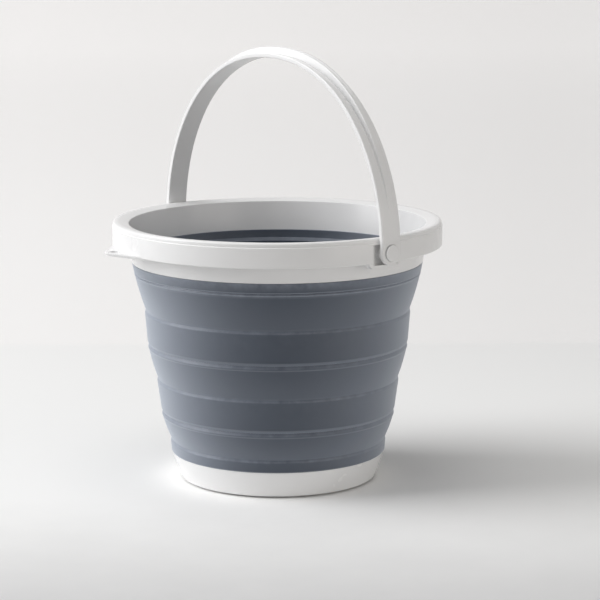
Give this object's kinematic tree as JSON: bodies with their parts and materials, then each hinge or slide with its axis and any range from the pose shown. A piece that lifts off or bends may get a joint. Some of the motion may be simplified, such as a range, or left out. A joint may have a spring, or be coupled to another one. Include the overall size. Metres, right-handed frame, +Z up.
{
  "type": "collapsible bucket",
  "caption": "Collapsible camp bucket with a broad rolled rim, a stepped soft wall that folds flat, a rigid base cup, a swinging bail and a hang tab.",
  "frame": {"origin": "on the bucket's axis, at the level it stands on; the underside's recessed centre is 1.5 mm above it", "axes": "+Z up along the bucket's axis, +X along the bail's pivot axis, -Y towards the side with the hang tab"},
  "size_m": [0.334, 0.3305, 0.4207],
  "materials": {
    "white_plastic": "smooth moulded polypropylene, soft gloss",
    "grey_soft_rubber": "matt thermoplastic rubber, slate grey"
  },
  "bodies": {
    "base": {"base_cup": "white_plastic", "wall_lower_ring": "grey_soft_rubber", "wall_lower_fold": "grey_soft_rubber"},
    "middle_band": {"wall_middle_ring": "grey_soft_rubber", "wall_middle_fold": "grey_soft_rubber"},
    "upper_band": {"wall_upper_ring": "grey_soft_rubber", "wall_upper_fold": "grey_soft_rubber"},
    "collar": {"wall_top_strip": "grey_soft_rubber", "rim_collar": "white_plastic", "pivot_pin_right": "white_plastic", "pivot_pin_left": "white_plastic"},
    "bail": {"bail_handle": "white_plastic"}
  },
  "joints": [
    {"name": "lower_fold", "type": "slide", "parent": "base", "child": "middle_band", "axis": [0, 0, -1], "range_m": [0, 0.0554], "deforming": ["wall_lower_fold"]},
    {"name": "middle_fold", "type": "slide", "parent": "middle_band", "child": "upper_band", "axis": [0, 0, -1], "range_m": [0, 0.068], "deforming": ["wall_middle_fold"]},
    {"name": "upper_fold", "type": "slide", "parent": "upper_band", "child": "collar", "axis": [0, 0, -1], "range_m": [0, 0.074], "deforming": ["wall_upper_fold"]},
    {"name": "bail_swing", "type": "hinge", "parent": "collar", "child": "bail", "pos_m": [0, 0, 0.2405], "axis": [1, 0, 0], "range_deg": [-90, 87]}
  ]
}
